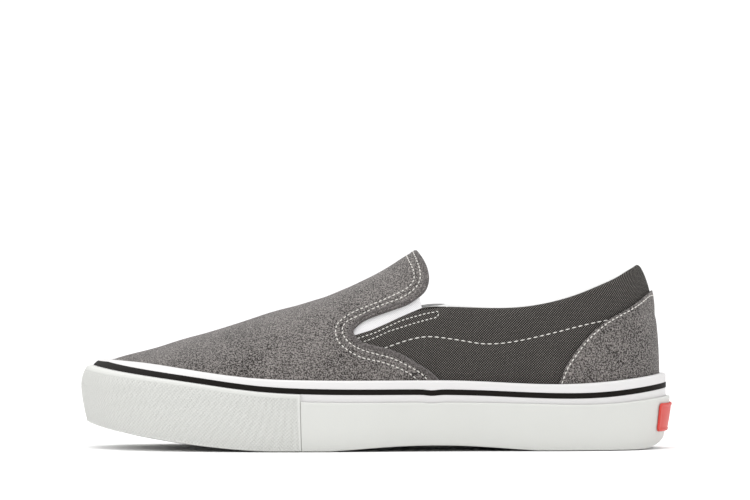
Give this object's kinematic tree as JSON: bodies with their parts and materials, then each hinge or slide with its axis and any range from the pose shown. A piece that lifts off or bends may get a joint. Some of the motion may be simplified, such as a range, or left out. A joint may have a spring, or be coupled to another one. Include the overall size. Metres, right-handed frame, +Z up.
{
  "type": "slip-on sneaker",
  "caption": "Low slip-on canvas and suede shoe with elastic side gores, a padded collar and a thick cup-edged rubber sole, standing empty; worn on the left foot",
  "frame": {"origin": "On the floor, under the middle of the shoe's length and width", "axes": "+Z up, -X to the toe, +X to the heel, -Y to the outer side of the left foot, +Y to its inner side"},
  "size_m": [0.29, 0.1081, 0.0969],
  "materials": {
    "white_rubber": "satin, off-white",
    "black_rubber": "satin",
    "red_rubber": "satin",
    "white_cloth": "matt woven",
    "grey_canvas": "matt woven",
    "grey_suede": "napped"
  },
  "bodies": {
    "root": {"outsole": "white_rubber", "foxing": "white_rubber", "foxing_tape": "white_rubber", "toe_bumper": "white_rubber", "foxing_stripe": "black_rubber", "heel_tab": "red_rubber", "insole": "white_cloth", "upper": "grey_canvas", "vamp": "grey_suede", "heel_counter": "grey_suede", "gore_lateral": "white_cloth", "gore_medial": "white_cloth"}
  },
  "joints": []
}
